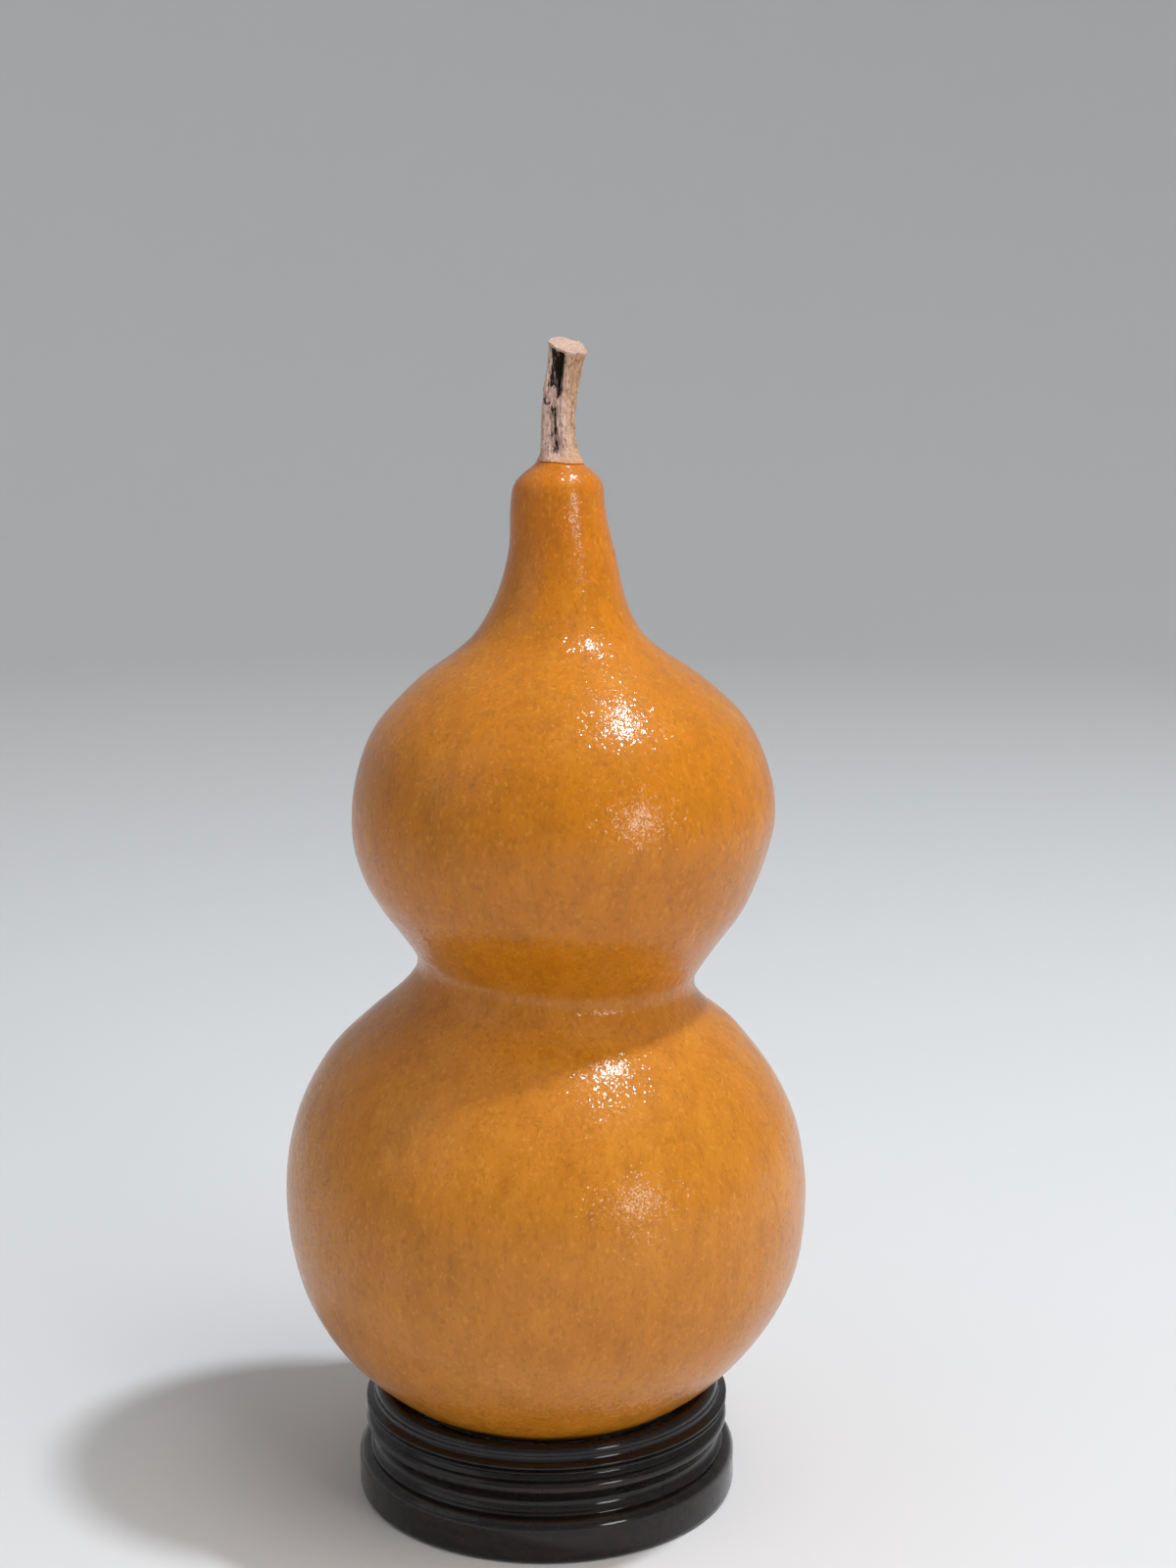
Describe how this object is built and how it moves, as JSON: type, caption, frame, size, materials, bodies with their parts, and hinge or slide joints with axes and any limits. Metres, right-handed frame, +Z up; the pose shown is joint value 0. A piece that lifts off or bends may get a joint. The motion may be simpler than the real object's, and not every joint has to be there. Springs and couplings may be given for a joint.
{
  "type": "dried bottle gourd",
  "caption": "Polished dried bottle gourd with a pinched waist, a slender neck and its dried stem, resting in the dished top of a small turned dark wooden stand.",
  "frame": {"origin": "centre of the stand's flat underside, on the surface it stands on", "axes": "+Z up, from the stand to the stem; -Y is the front, the side seen in the picture; +X is to the right of someone facing the front"},
  "size_m": [0.1, 0.0999, 0.2195],
  "materials": {
    "gourd_skin": "gloss",
    "dried_stem": "matte",
    "dark_lacquer": "gloss"
  },
  "bodies": {
    "root": {"gourd": "gourd_skin", "stem": "dried_stem", "stand": "dark_lacquer"}
  },
  "joints": []
}
